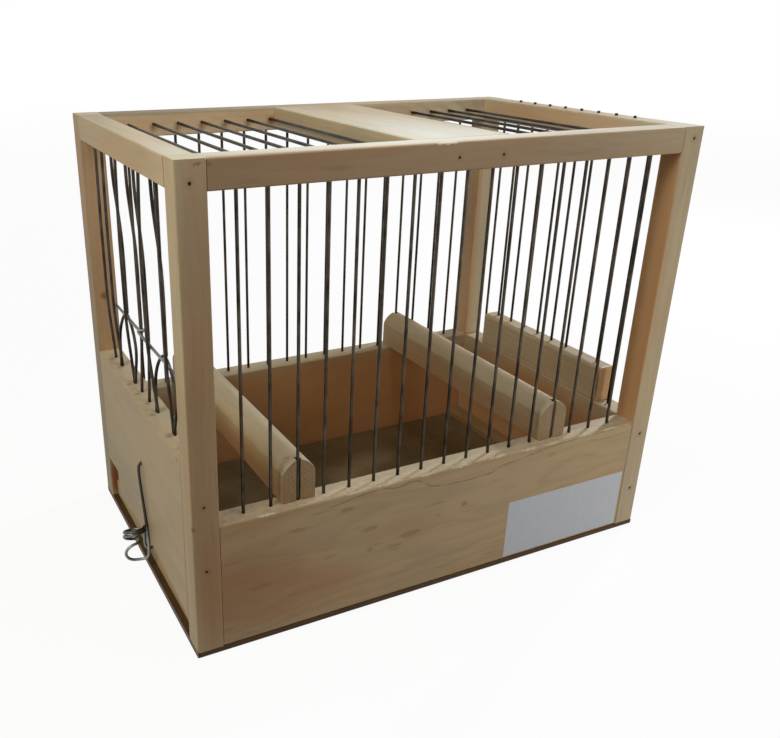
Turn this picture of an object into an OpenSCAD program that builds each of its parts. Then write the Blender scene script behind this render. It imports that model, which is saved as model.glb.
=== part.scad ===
// Small songbird cage of pine sticks and steel wire, with a lift-up wire door, two lift-up
// perches and a pull-out floor tray. The source draws it from its lower front left corner;
// at_centre() moves the middle of the underside to the origin.

/* [Cage] */
// Overall width, left to right
cage_w = 240; // [210:5:300]
// Overall depth, front to back
cage_d = 151; // [135:1:190]
// Overall height, floor board included
cage_h = 202.5; // [190:0.5:240]
// Thickness of the hardboard floor board
base_t = 3; // [2:0.5:5]

/* [Timber] */
// Side of the square corner posts
post = 11.4; // [11:0.2:14]
// Thickness of the panels and top rails
board_t = 11; // [10:0.5:11]
// Height of the top rails
rail_h = 11; // [10:0.5:15]
// Height of the front, back and right panels
sill_h = 58.7; // [52:0.1:68]
// Height of the left panel's top edge above the floor board
left_sill_h = 84.4; // [78:0.1:92]
// Width of the centre board in the roof
centre_w = 44.5; // [36:0.5:56]
// Thickness of the centre board
centre_t = 10; // [8:0.5:11]
// How far the centre board sits to the right of the middle
centre_shift = 0.75; // [0:0.25:2]

/* [Wires] */
// Diameter of the cage wire
wire_d = 1.4; // [1:0.1:1.6]
// Bays along the front, one more than the wires in it
front_bays = 18; // [16:1:20]
// Depth of a wire's hole in a panel
sill_seat = 8; // [5:0.5:12]
// Depth of a wire's hole in a rail
rail_seat = 4; // [3:0.5:4]
// Play of a fixed wire or nail in its hole, on the diameter
hole_fit = 0.1; // [0.05:0.05:0.2]

/* [Left wall] */
// Height of the cross rod above the left panel
rod_rise = 29.6; // [25:0.1:36]
// How far each head hole's arch swells beyond its feet
arch_swell = 2.3; // [0:0.1:3]
// Distance between the feet of an arch and of the wire beside it
twin_gap = 1.7; // [1.6:0.1:2.2]
// Distance from the cage's left face to the wires' holes in the rail
left_hole_x = 4.7; // [4:0.1:6]
// How far the rail's holes stand in or out of their row
hole_zigzag = 0.6; // [0:0.1:0.8]

/* [Tray slot] */
// Height of the slot under the left panel, at its ends
slot_h = 9.6; // [9:0.1:14]
// Rise of the hand-cut arch over the slot
arch_rise = 5.5; // [3:0.5:8]
// Width of the finger notch at the slot's back end
notch_w = 18; // [12:0.5:24]
// Height of the finger notch above the floor board
notch_h = 23.6; // [18:0.1:30]

/* [Door] */
// Thickness of the door's wooden bar
door_t = 9; // [8:0.5:10]
// Height of the door's wooden bar
door_h = 18.7; // [15:0.1:24]
// Rounding of the bar's inner top edge
door_round = 2; // [1:0.5:4]
// Gap between the bar's front end and its guide wire
door_front_gap = 2.7; // [1:0.1:4]
// Gap between the bar's back end and its guide wire
door_back_gap = 4.8; // [1:0.1:6]
// Depth of a door wire's hole in the bar
door_seat = 12; // [8:0.5:14]
// Play round a door wire in the rail, on the diameter
door_play = 0.6; // [0.4:0.1:1]
// How far the door wires stand out of the rail
door_proud = 1; // [0.5:0.5:5]

/* [Perches] */
// Width of a perch
perch_w = 15; // [12:0.5:18]
// Height of a perch
perch_h = 19.2; // [15:0.1:20]
// Height of a perch's domed top
perch_dome = 6.8; // [4:0.1:8]
// How far a perch reaches past the wires
perch_past = 1.3; // [0.8:0.1:3]
// Depth of the saw slot in each end of a perch
saw_depth = 3; // [2.6:0.1:8]
// Play of the wire in the saw slot, on the width
saw_play = 0.8; // [0.6:0.1:1.2]
// The front wire that the left perch rides on
left_perch_wire = 3; // [2:1:5]
// The front wire that the right perch rides on
right_perch_wire = 14; // [12:1:14]

/* [Tray] */
// Thickness of the tray's hardboard
tray_t = 3; // [2:0.5:4]
// Height of the tray's laths
lath_h = 8.7; // [8:0.1:9]
// Thickness of the tray's laths
lath_t = 9; // [7:0.5:12]
// Height of the tray board's underside above the laths'
tray_rise = 2; // [1.5:0.5:3]
// Depth of the groove that holds the tray board
groove = 3; // [2:0.5:4]
// Clearance between the tray and what is beside it
tray_gap = 0.6; // [0.4:0.1:1]
// How far the front lath stands back from the cage's left face
lath_back = 2.8; // [0.5:0.1:3]
// Distance from the cage's front to the pull
pull_y = 68; // [55:1:80]
// How far the pull's hook hole sits to the back of the pull
hook_side = 3.6; // [2:0.1:5]
// Height of the pull's hook hole in the left panel above the floor board
hook_rise = 53.8; // [50:0.1:60]
// Diameter of the hook hole
hook_hole = 2.4; // [2:0.1:3]

/* [Nails] */
// Diameter of a nail
nail_d = 1.4; // [1.2:0.1:1.6]
// Diameter of a nail's head
head_d = 2.2; // [2:0.1:2.8]
// Thickness of a nail's head
head_t = 0.6; // [0.4:0.1:1]
// Length of a nail
nail_l = 20; // [16:1:20]
// Length of a nail in the floor board
base_nail_l = 14; // [10:1:16]
// How far a nail's head is sunk
sink = 0.3; // [0.2:0.1:0.5]

/* [Hidden] */

pine = [0.87, 0.75, 0.58];
hardboard = [0.36, 0.26, 0.18];
steel = [0.25, 0.26, 0.27];
zinc = [0.6, 0.62, 0.63];

// Play left at the far end of a blind hole, and between parts that rest on each other
end_play = 0.2;
rest_play = 0.1;
// A cut runs this far past the face that it opens
past = 1;
round_fn = 32;

// Heights
sill_top = base_t + sill_h;
left_top = base_t + left_sill_h;
rail_under = cage_h - rail_h;
roof_wire_z = cage_h - board_t / 2;

// Lengths between the posts
clear_w = cage_w - 2 * post;
clear_d = cage_d - 2 * post;

// The wires stand in the middle of each wall
front_y = board_t / 2;
back_y = cage_d - board_t / 2;
left_x = board_t / 2;
right_x = cage_w - board_t / 2;

// Wires along the front and the sides are numbered from 1, from the left and from the front
side_bays = 11;
side_wires = side_bays - 1;
function front_x(k) = post + k * clear_w / front_bays;
function side_y(k) = post + k * clear_d / side_bays;

// The roof has no wire where the centre board is
centre_x0 = (cage_w - centre_w) / 2 + centre_shift;
centre_x1 = centre_x0 + centre_w;
wire_room = wire_d / 2 + 0.3;
left_roof = [for (k = [1 : front_bays - 1]) if (front_x(k) < centre_x0 - wire_room) front_x(k)];
right_roof = [for (k = [1 : front_bays - 1]) if (front_x(k) > centre_x1 + wire_room) front_x(k)];

// Left wall: a head hole lies under each short wire, and the wires weave past the rod
short_wires = [3, 8];
guide_wires = [1, side_wires];
rod_z = left_top + rod_rise;
weave = wire_d + 0.05;
rod_y0 = side_y(1) + 3;
rod_y1 = side_y(9) + 8;
// Which side of the rod each wire passes: -1 outside, 1 inside, wires 1 to 10
rod_side = [0, -1, 1, -1, 1, 1, -1, 1, -1, -1];
// How far each hand-set wire bows to the back, wires 1 to 10
bow = [0, 0.7, -2.5, 4.5, 0, -1, 2.7, -1.5, 1.3, 1.3];
// The wires beside a head hole have their feet just inside the arch's
twin = [0, 1, 0, -1, 0, 0, 1, 0, -1, 0];
tied_wire = 6;
tie_turn = 1.6;

// Nails: heights in the left and right posts, and distance from the cage's sides
left_nail_z = [cage_h - 7.9, left_top - 15.7, left_top - 45.3];
right_nail_z = [cage_h - 5.1, sill_top - 7.5, base_t + 20];
nail_in = 5.2;
centre_nail_z = cage_h - 5.9;
centre_nail_x = [centre_x0 + 13.2, centre_x1 - 10.7];

// Door
door_y0 = side_y(1) + wire_d / 2 + door_front_gap;
door_y1 = side_y(side_wires) - wire_d / 2 - door_back_gap;
door_x0 = cage_w - board_t;
door_z0 = sill_top + rest_play;
door_top = door_z0 + door_h;

// Perches
perch_z0 = sill_top + rest_play;
perch_y0 = front_y - perch_past;
perch_y1 = back_y + perch_past;

// Tray
lath_z0 = base_t + end_play;
tray_z0 = lath_z0 + tray_rise;
tray_y0 = post + tray_gap;
tray_y1 = cage_d - post - tray_gap;
tray_x1 = cage_w - board_t - tray_gap;
pull_z = base_t + 5;
pull_end_y = pull_y + 4.2;
pull_end_z = pull_z + 1.8;
pull_seat = 6;
hook_z = base_t + hook_rise;
hook_tip = 5;
hook_depth = 6.5;

// Moves the middle of the cage's underside to the origin
module at_centre() translate([-cage_w / 2, -cage_d / 2, 0]) children();

// A board from corner a to corner b
module board(a, b) translate(a) cube(b - a);

// An upright rod or hole between two heights
module upright(x, y, z0, z1, d) translate([x, y, z0]) cylinder(d = d, h = z1 - z0, $fn = round_fn);

// A rod or hole along the depth, between two places
module level(x, z, y0, y1, d) translate([x, y0, z]) rotate([-90, 0, 0])
    cylinder(d = d, h = y1 - y0, $fn = round_fn);

// Blind holes in a panel's top edge and in a rail's underside
module sill_hole(x, y, top)
    upright(x, y, top - sill_seat - end_play, top + past, wire_d + hole_fit);
module rail_hole(x, y)
    upright(x, y, rail_under - past, rail_under + rail_seat + end_play, wire_d + hole_fit);

// A nail along the depth, driven from the front, and the hole that it needs
module nail(grow = 0, extra = 0) {
    cylinder(d = nail_d + grow, h = nail_l + extra, $fn = round_fn);
    translate([0, 0, -extra * 5]) cylinder(d = head_d + grow, h = head_t + extra * 6, $fn = round_fn);
}

// Puts a nail or hole in the front face and its twin in the back face
module from_front(x, z) translate([x, sink, z]) rotate([-90, 0, 0]) children();
module from_back(x, z) translate([x, cage_d - sink, z]) rotate([90, 0, 0]) children();
module nail_hole() nail(hole_fit, end_play);

// Everything nailed through the posts and rails, seen from the front or the back
module side_nails() {
    for (z = left_nail_z) {
        from_front(nail_in, z) children();
        from_back(nail_in, z) children();
    }
    for (z = right_nail_z) {
        from_front(cage_w - nail_in, z) children();
        from_back(cage_w - nail_in, z) children();
    }
}
module centre_nails() for (x = centre_nail_x) {
    from_front(x, centre_nail_z) children();
    from_back(x, centre_nail_z) children();
}

// Nails in the floor board, under the posts and the panels
base_nail_xy = [
    for (x = [post / 2, cage_w / 3, 2 * cage_w / 3, cage_w - post / 2])
        for (y = [post / 2, cage_d - post / 2]) [x, y],
    [cage_w - post / 2, cage_d / 2]
];
module base_nail_at(grow, extra) for (p = base_nail_xy) translate([p[0], p[1], sink]) {
    cylinder(d = nail_d + grow, h = base_nail_l + extra, $fn = round_fn);
    translate([0, 0, -extra * 5]) cylinder(d = head_d + grow, h = head_t + extra * 6, $fn = round_fn);
}
module base_nail_holes() base_nail_at(hole_fit, end_play);

// Bent wire: a smooth path through points, and a tube swept along it
bent_fn = 8;
function unit(v) = v / norm(v);
function across(v, t) = unit(v - (v * t) * t);
function curve_point(a, b, c, d, t) =
    b + (c - a) * t / 2 + (2 * a - 5 * b + 4 * c - d) * t * t / 2
    + (3 * b - a - 3 * c + d) * t * t * t / 2;
function smooth(p, steps) = [
    for (i = [0 : len(p) - 2]) for (s = [0 : steps - 1])
        curve_point(p[max(i - 1, 0)], p[i], p[i + 1], p[min(i + 2, len(p) - 1)], s / steps),
    p[len(p) - 1]
];
function heading(p, i) = unit(p[min(i + 1, len(p) - 1)] - p[max(i - 1, 0)]);
function sides_of(p, start) = [
    for (i = 0, n = across(start, heading(p, 0)); i < len(p);
        i = i + 1, n = i < len(p) ? across(n, heading(p, i)) : n) n
];
module bent_wire(p, start = [1, 0, 0], d = wire_d) {
    n = sides_of(p, start);
    last = len(p) - 1;
    points = [
        for (i = [0 : last]) for (s = [0 : bent_fn - 1])
            let (t = heading(p, i), a = 360 * s / bent_fn)
            p[i] + d / 2 * (cos(a) * n[i] + sin(a) * cross(t, n[i]))
    ];
    walls = [
        for (i = [0 : last - 1]) for (s = [0 : bent_fn - 1])
            let (a = i * bent_fn + s, b = i * bent_fn + (s + 1) % bent_fn)
            each [[a, a + bent_fn, b], [b, a + bent_fn, b + bent_fn]]
    ];
    near = [for (s = [0 : bent_fn - 1]) s];
    far = [for (s = [bent_fn - 1 : -1 : 0]) last * bent_fn + s];
    polyhedron(points, concat(walls, [near, far]), convexity = 10);
}

// A left wall wire: foot, rod, middle and rail are joined by one smooth bow
function hole_x(k) = left_hole_x + hole_zigzag * rod_side[k - 1];
function weave_x(k) = left_x + weave * rod_side[k - 1];
function foot_y(k) = side_y(k) + twin[k - 1] * twin_gap / 2;
function upper_bow(k) = [
    [weave_x(k), side_y(k) + 0.9 * bow[k - 1], rod_z + 14],
    [weave_x(k), side_y(k) + bow[k - 1], (rod_z + rail_under) / 2],
    [hole_x(k), side_y(k) + 0.5 * bow[k - 1], rail_under - 14],
    [hole_x(k), side_y(k), rail_under - 1],
    [hole_x(k), side_y(k), rail_under + rail_seat]
];
function left_wire_path(k) = smooth(concat([
    [left_x, foot_y(k), left_top - sill_seat],
    [left_x, foot_y(k), left_top],
    [left_x, foot_y(k), left_top + 2],
    [(left_x + weave_x(k)) / 2, (foot_y(k) + side_y(k) + 0.8 * bow[k - 1]) / 2, rod_z - 15],
    [weave_x(k), side_y(k) + 0.8 * bow[k - 1], rod_z]
], upper_bow(k)), 2);
function short_wire_path(k) = smooth(concat([
    [weave_x(k), side_y(k) + 0.8 * bow[k - 1], rod_z + weave / 2 + rest_play],
    [weave_x(k), side_y(k) + 0.8 * bow[k - 1], rod_z + 4]
], upper_bow(k)), 2);

// A head hole's arch: straight feet in the panel, swelling legs and a round top behind the rod
arch_steps = 24;
function arch_point(k, a) = let (u = sin(a), foot = (side_y(k + 1) - side_y(k - 1) + twin_gap) / 2)
    [left_x + weave * pow(sin(90 * u), 1.2),
     side_y(k) - sign(cos(a)) * (foot * pow(1 - pow(u, 3.5), 0.6) + arch_swell * pow(sin(180 * u), 2)),
     left_top + 1 + (rod_rise - 1) * u];
function arch_foot(k, way) = [left_x, side_y(k + way) + way * twin_gap / 2, left_top - sill_seat];
function arch_path(k) = concat(
    [arch_foot(k, -1)],
    [for (i = [0 : arch_steps]) arch_point(k, 180 * i / arch_steps)],
    [arch_foot(k, 1)]
);

// The cross rod runs along the wall and takes one turn round a wire on the way
function rod_path() = let (
        c = [weave_x(tied_wire), side_y(tied_wire) + 0.8 * bow[tied_wire - 1]],
        half = tie_turn / 2
    ) concat(
    [[left_x, rod_y1, rod_z + half]],
    [for (i = [0 : 16]) let (a = 180 + 22.5 * i)
        [c[0] + weave * cos(a), c[1] + weave * sin(a), rod_z + half - tie_turn * i / 16]],
    [[left_x, rod_y0, rod_z - half]]
);

// The tray's pull: hook, tail, upright ring, tilted curl of a turn and a half, leg in the lath
curl_x = -6.5;
curl_w = 4.7;
curl_y = 4.2;
curl_steps = 12;
curl_rise = 0.225;
curl_tilt = 0.36;
function curl_point(i) = let (a = 180 + 45 * i)
    [curl_x + curl_w * cos(a), pull_y + 0.4 + curl_y * sin(a),
     pull_z + 14.3 + curl_rise * i - curl_tilt * curl_y * sin(a)];
function tail() = [
    for (p = [[hook_tip, 0, 0], [0.6, 0, 0], [-0.9, -0.1, -0.6], [-1.5, -0.5, -3.2], [-1.5, -1.2, -8],
        [-1.3, -2.8, -17], [-1.05, -4.2, -25], [-0.95, -5.2, -31], [-0.9, -6.1, -36.5], [-0.9, -6.6, -40]])
        [p[0], pull_y + hook_side + p[1], hook_z + p[2]]
];
function pull_ring() = [
    for (p = [[-1, -2.8, 4.6], [-1.2, -2.2, 2.2], [-2.6, -1.4, 0.6], [-5, -0.6, 0.3], [-8, 0, 0.5],
        [-10.3, 0.2, 2], [-11.2, 0.4, 4.4], [-10, 0.6, 6.8], [-7.6, 0.6, 8.1], [-5.2, 0.9, 8.6],
        [-3.9, 2.1, 8.8], [-4.6, 3.6, 8.8], [-6.6, 4.1, 9.2], [-9.2, 3.4, 10.4], [-10.9, 1.8, 12.4]])
        [p[0], pull_y + p[1], pull_z + p[2]]
];
function pull_leg() = concat(
    [for (p = [[-1, -1.8, 13.8], [-0.9, -0.8, 10.6], [-0.9, -0.3, 6.2], [-0.8, -0.1, 2.6], [0.3, 0, 0.5]])
        [p[0], pull_end_y + p[1], pull_end_z + p[2]]],
    [for (x = [lath_back, lath_back + pull_seat]) [x, pull_end_y, pull_end_z]]
);
function pull_route() = concat(
    tail(), pull_ring(), [for (i = [0 : curl_steps]) curl_point(i)], pull_leg());

// Floor board, flush with the posts all round
module base_board() color(hardboard) at_centre() difference() {
    board([0, 0, 0], [cage_w, cage_d, base_t]);
    base_nail_holes();
}

// A corner post with its nail holes
module corner_post(x, y) color(pine) at_centre() difference() {
    board([x, y, base_t], [x + post, y + post, cage_h]);
    side_nails() nail_hole();
    base_nail_holes();
}
module front_left_post() corner_post(0, 0);
module front_right_post() corner_post(cage_w - post, 0);
module back_left_post() corner_post(0, cage_d - post);
module back_right_post() corner_post(cage_w - post, cage_d - post);

// Front and back panels carry the feet of the wires
module long_panel(y, wire_y) color(pine) at_centre() difference() {
    board([post, y, base_t], [cage_w - post, y + board_t, sill_top]);
    for (k = [1 : front_bays - 1]) sill_hole(front_x(k), wire_y, sill_top);
    base_nail_holes();
}
module front_panel() long_panel(0, front_y);
module back_panel() long_panel(cage_d - board_t, back_y);

// Left panel: taller, with the arched tray slot and finger notch cut from its lower edge
module left_panel() color(pine) at_centre() difference() {
    slot_top = base_t + slot_h;
    chord = clear_d - notch_w;
    arch_r = (chord * chord / 4 + arch_rise * arch_rise) / (2 * arch_rise);
    board([0, post, slot_top], [board_t, cage_d - post, left_top]);
    translate([-past, post + chord / 2, slot_top + arch_rise - arch_r]) rotate([0, 90, 0])
        cylinder(r = arch_r, h = board_t + 2 * past, $fn = 256);
    board([-past, cage_d - post - notch_w, slot_top - past],
        [board_t + past, cage_d - post + past, base_t + notch_h]);
    translate([-past, pull_y + hook_side, hook_z]) rotate([0, 90, 0])
        cylinder(d = hook_hole, h = past + hook_depth, $fn = round_fn);
    for (k = [1 : side_wires]) if (len(search(k, short_wires)) == 0)
        sill_hole(left_x, foot_y(k), left_top);
    for (k = short_wires) for (way = [-1, 1])
        sill_hole(left_x, arch_foot(k, way)[1], left_top);
    side_nails() nail_hole();
}

// Right panel: the door rests on it between the two guide wires
module right_panel() color(pine) at_centre() difference() {
    board([cage_w - board_t, post, base_t], [cage_w, cage_d - post, sill_top]);
    for (k = guide_wires) sill_hole(right_x, side_y(k), sill_top);
    side_nails() nail_hole();
    base_nail_holes();
}

// Front and back rails hold the tops of the wires and the ends of the roof wires
module long_rail(y, wire_y, inner_y, way) color(pine) at_centre() difference() {
    depth = way * (rail_seat + end_play);
    board([post, y, rail_under], [cage_w - post, y + board_t, cage_h]);
    for (k = [1 : front_bays - 1]) rail_hole(front_x(k), wire_y);
    for (x = concat(left_roof, right_roof))
        level(x, roof_wire_z, min(inner_y + way * -past, inner_y + depth),
            max(inner_y + way * -past, inner_y + depth), wire_d + hole_fit);
    centre_nails() nail_hole();
}
module front_top_rail() long_rail(0, front_y, board_t, -1);
module back_top_rail() long_rail(cage_d - board_t, back_y, cage_d - board_t, 1);

module left_top_rail() color(pine) at_centre() difference() {
    board([0, post, rail_under], [board_t, cage_d - post, cage_h]);
    for (k = [1 : side_wires]) rail_hole(hole_x(k), side_y(k));
    side_nails() nail_hole();
}

// Right rail: blind holes for the guide wires, through holes for the door's wires
module right_top_rail() color(pine) at_centre() difference() {
    board([cage_w - board_t, post, rail_under], [cage_w, cage_d - post, cage_h]);
    for (k = guide_wires) rail_hole(right_x, side_y(k));
    for (k = [2 : side_wires - 1])
        upright(right_x, side_y(k), rail_under - past, cage_h + past, wire_d + door_play);
    side_nails() nail_hole();
}

module centre_board() color(pine) at_centre() difference() {
    board([centre_x0, board_t, cage_h - centre_t], [centre_x1, cage_d - board_t, cage_h]);
    centre_nails() nail_hole();
}

// Straight wires
module front_wires() color(steel) at_centre() for (k = [1 : front_bays - 1])
    upright(front_x(k), front_y, sill_top - sill_seat, rail_under + rail_seat, wire_d);
module back_wires() color(steel) at_centre() for (k = [1 : front_bays - 1])
    upright(front_x(k), back_y, sill_top - sill_seat, rail_under + rail_seat, wire_d);
module right_wires() color(steel) at_centre() for (k = guide_wires)
    upright(right_x, side_y(k), sill_top - sill_seat, rail_under + rail_seat, wire_d);
module roof_wires(places) color(steel) at_centre() for (x = places)
    level(x, roof_wire_z, board_t - rail_seat, cage_d - board_t + rail_seat, wire_d);
module top_wires_left() roof_wires(left_roof);
module top_wires_right() roof_wires(right_roof);

// Bent wires of the left wall
module left_wires() color(steel) at_centre() for (k = [1 : side_wires])
    if (len(search(k, short_wires)) == 0) bent_wire(left_wire_path(k));
module left_short_wires() color(steel) at_centre() for (k = short_wires)
    bent_wire(short_wire_path(k));
module head_hole_arches() color(steel) at_centre() for (k = short_wires) bent_wire(arch_path(k));
module cross_rod() color(zinc) at_centre() bent_wire(rod_path());

module frame_nails() color(steel) at_centre() {
    side_nails() nail();
    centre_nails() nail();
}
module base_nails() color(steel) at_centre() base_nail_at(0, 0);

// Door: a bar with its inner top edge rounded, and the wires that slide in the rail
module bar_outline() {
    square([door_t, door_h - door_round]);
    translate([door_round, 0]) square([door_t - door_round, door_h]);
    translate([door_round, door_h - door_round]) circle(r = door_round, $fn = round_fn);
}
module door_bar() color(pine) at_centre() difference() {
    translate([door_x0, door_y1, door_z0]) rotate([90, 0, 0])
        linear_extrude(door_y1 - door_y0) bar_outline();
    for (k = [2 : side_wires - 1]) upright(right_x, side_y(k), door_top - door_seat - end_play,
        door_top + past, wire_d + hole_fit);
}
module door_wires() color(steel) at_centre() for (k = [2 : side_wires - 1])
    upright(right_x, side_y(k), door_top - door_seat, cage_h + door_proud, wire_d);

// Perch: a bar with a hand-planed dome on top and a saw slot in each end for a wire
dome_steps = 16;
dome_power = 1.25;
function dome_point(a) = [perch_w / 2 * sign(cos(a)) * pow(abs(cos(a)), dome_power),
    perch_h - perch_dome + perch_dome * pow(sin(a), dome_power)];
module perch_outline() polygon(concat(
    [[-perch_w / 2, 0], [perch_w / 2, 0]],
    [for (i = [0 : dome_steps]) dome_point(180 * i / dome_steps)]
));
module perch(k) color(pine) at_centre() difference() {
    cut = (wire_d + saw_play) / 2;
    translate([front_x(k), perch_y1, perch_z0]) rotate([90, 0, 0])
        linear_extrude(perch_y1 - perch_y0) perch_outline();
    board([front_x(k) - cut, perch_y0 - past, perch_z0 - past],
        [front_x(k) + cut, perch_y0 + saw_depth, perch_z0 + perch_h + past]);
    board([front_x(k) - cut, perch_y1 - saw_depth, perch_z0 - past],
        [front_x(k) + cut, perch_y1 + past, perch_z0 + perch_h + past]);
}
module left_perch() perch(left_perch_wire);
module right_perch() perch(right_perch_wire);

// Tray: a sheet of hardboard held in the grooves of two laths
module tray_sheet(grow) board(
    [lath_back + lath_t - groove - grow, tray_y0 - grow * past, tray_z0 - grow],
    [tray_x1 - lath_t + groove + grow, tray_y1 + grow * past, tray_z0 + tray_t + grow]);
module tray_board() color(hardboard) at_centre() tray_sheet(0);
module tray_lath(x0) difference() {
    board([x0, tray_y0, lath_z0], [x0 + lath_t, tray_y1, lath_z0 + lath_h]);
    tray_sheet(hole_fit);
}
module tray_front_lath() color(pine) at_centre() difference() {
    tray_lath(lath_back);
    translate([lath_back - past, pull_end_y, pull_end_z]) rotate([0, 90, 0])
        cylinder(d = wire_d + hole_fit, h = past + pull_seat + end_play, $fn = round_fn);
}
module tray_back_lath() color(pine) at_centre() tray_lath(tray_x1 - lath_t);
module tray_pull() color(steel) at_centre() bent_wire(smooth(pull_route(), 3), [0, 0, 1]);

base_board();
front_left_post();
front_right_post();
back_left_post();
back_right_post();
front_panel();
back_panel();
left_panel();
right_panel();
front_top_rail();
back_top_rail();
left_top_rail();
right_top_rail();
centre_board();
front_wires();
back_wires();
left_wires();
left_short_wires();
right_wires();
top_wires_left();
top_wires_right();
head_hole_arches();
cross_rod();
frame_nails();
base_nails();
door_bar();
door_wires();
left_perch();
right_perch();
tray_board();
tray_front_lath();
tray_back_lath();
tray_pull();
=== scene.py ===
"""Songbird cage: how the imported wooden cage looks, built around the fixed CAD frame.

Lengths in the classes are millimetres in the cage's own axes: X along the front to the right, Y to
the back and Z up, from the middle of the underside. Blender's own unit is the metre.
"""

import logging
import math
from collections.abc import Callable, Iterator
from contextlib import contextmanager
from dataclasses import dataclass, field
from enum import Enum
from typing import Any

import bpy
from mathutils import Matrix, Vector


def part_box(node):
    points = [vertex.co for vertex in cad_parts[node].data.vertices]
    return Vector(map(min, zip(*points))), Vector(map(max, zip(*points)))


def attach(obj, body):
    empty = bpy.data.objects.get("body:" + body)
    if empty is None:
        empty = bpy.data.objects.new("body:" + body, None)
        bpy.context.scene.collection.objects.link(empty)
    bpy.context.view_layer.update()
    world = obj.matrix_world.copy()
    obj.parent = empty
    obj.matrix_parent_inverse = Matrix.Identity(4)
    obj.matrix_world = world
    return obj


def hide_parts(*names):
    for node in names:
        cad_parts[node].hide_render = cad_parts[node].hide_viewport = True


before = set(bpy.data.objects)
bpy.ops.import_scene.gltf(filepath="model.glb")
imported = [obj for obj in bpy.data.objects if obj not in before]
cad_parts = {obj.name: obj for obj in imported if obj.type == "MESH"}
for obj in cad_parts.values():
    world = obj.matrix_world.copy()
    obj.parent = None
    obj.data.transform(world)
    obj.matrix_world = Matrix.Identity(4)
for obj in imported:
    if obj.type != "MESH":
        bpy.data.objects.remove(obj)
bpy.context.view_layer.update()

LOG = logging.getLogger("songbird_cage")
MM = 0.001
# The name of the face attribute that marks torn fibres, read by the pine
TORN = "torn_fibre"
WHITE = (1.0, 1.0, 1.0, 1.0)
# How far the front and back faces stand from the cage's middle
FACE = 75.5
# How far a rounded wire's skin is pushed out again, because rounding draws it in
REGAIN = 0.07

Point = tuple[float, float, float]
Spots = tuple[tuple[float, float], ...]
Piece = bpy.types.Object
Material = bpy.types.Material
Socket = bpy.types.NodeSocket
Tree = bpy.types.NodeTree
Inputs = dict[Any, Any]
# A value, the least and most of it that count, and what those are stretched to, if not 0 and 1
Part = tuple[Socket | float, ...]
STRETCH = ("Value", "From Min", "From Max", "To Min", "To Max")


class Grain(Enum):
    """The way that a board's fibres run, as the order of the axes: along, across, across."""

    ALONG_X = ("X", "Y", "Z")
    ALONG_Y = ("Y", "X", "Z")
    ALONG_Z = ("Z", "X", "Y")

    def axis(self) -> int:
        """The number of the axis that the fibres run along."""
        return "XYZ".index(self.value[0])


class Body(Enum):
    """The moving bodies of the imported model."""

    FRAME = "frame"
    DOOR = "door"
    LEFT_PERCH = "left_perch"
    RIGHT_PERCH = "right_perch"
    TRAY = "tray"


def linear(colour: str) -> tuple[float, float, float, float]:
    """Turns an sRGB hex colour into Blender's linear colour.

    Args:
        colour: The colour as "#RRGGBB".

    Returns:
        Linear red, green, blue and an alpha of 1.
    """
    parts = [int(colour[i : i + 2], 16) / 255 for i in (1, 3, 5)]
    red, green, blue = (
        p / 12.92 if p <= 0.04045 else ((p + 0.055) / 1.055) ** 2.4 for p in parts
    )
    return red, green, blue, 1.0


def add_node(tree: Tree, kind: str, inputs: Inputs | None = None, **settings: Any) -> bpy.types.Node:
    """Adds a node with its settings, and fills its inputs with values or links.

    Args:
        tree: The node tree.
        kind: The node's type name, without the leading "ShaderNode".
        inputs: Socket name or number to a value, or to an output socket to link.
        settings: Properties of the node itself.

    Returns:
        The new node.
    """
    node = tree.nodes.new("ShaderNode" + kind)
    for name, value in settings.items():
        setattr(node, name, value)
    for name, value in (inputs or {}).items():
        if isinstance(value, bpy.types.NodeSocket):
            tree.links.new(value, node.inputs[name])
        else:
            node.inputs[name].default_value = value
    return node


def result(tree: Tree, kind: str, inputs: Inputs, **settings: Any) -> Socket:
    """Adds a node, as add_node does, and gives the first output that its settings leave in use."""
    outputs = add_node(tree, kind, inputs, **settings).outputs
    return next(output for output in outputs if output.enabled)


def cleared_tree(owner: Material | bpy.types.World) -> Tree:
    """Gives a material or a world an empty node tree.

    Args:
        owner: The material or the world.

    Returns:
        Its node tree.
    """
    owner.use_nodes = True
    owner.node_tree.nodes.clear()
    return owner.node_tree


@dataclass(frozen=True)
class Stain:
    """A mark laid on the wood: a knot, a resin streak, a bruise, a flush of heartwood, and also
    painted light and painted shade on some faces.

    A ragged mark has a torn outline, and a wide tint has a smooth one.
    """

    middle: Point
    reach: Point
    colour: str
    strength: float
    soft: float = 0.6
    ragged: bool = True


@dataclass(frozen=True)
class ResinLine:
    """A thin dark line that wanders along a panel, from left to right, with its heights."""

    places: tuple[float, ...]
    heights: tuple[float, ...]
    width: float = 0.5
    colour: str = "#6A4626"
    strength: float = 0.6


@dataclass(frozen=True)
class Finish:
    """A surface: a procedural material on object coordinates in millimetres."""

    name: str

    def material(self) -> Material:
        """Builds the material round the finish's own surface.

        Returns:
            The material.
        """
        made = bpy.data.materials.new(self.name)
        tree = cleared_tree(made)
        coords = add_node(tree, "TexCoord").outputs["Object"]
        place = result(tree, "VectorMath", {0: coords, "Scale": 1 / MM}, operation="SCALE")
        inputs, relief = self.surface(tree, place)
        inputs["Normal"] = result(tree, "Bump", relief)
        add_node(tree, "OutputMaterial", {"Surface": result(tree, "BsdfPrincipled", inputs)})
        return made

    def surface(self, tree: Tree, place: Socket) -> tuple[Inputs, Inputs]:
        """Draws the finish.

        Args:
            tree: The node tree.
            place: The place in millimetres.

        Returns:
            The inputs of the shader and of its bump.
        """
        raise NotImplementedError


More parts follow.
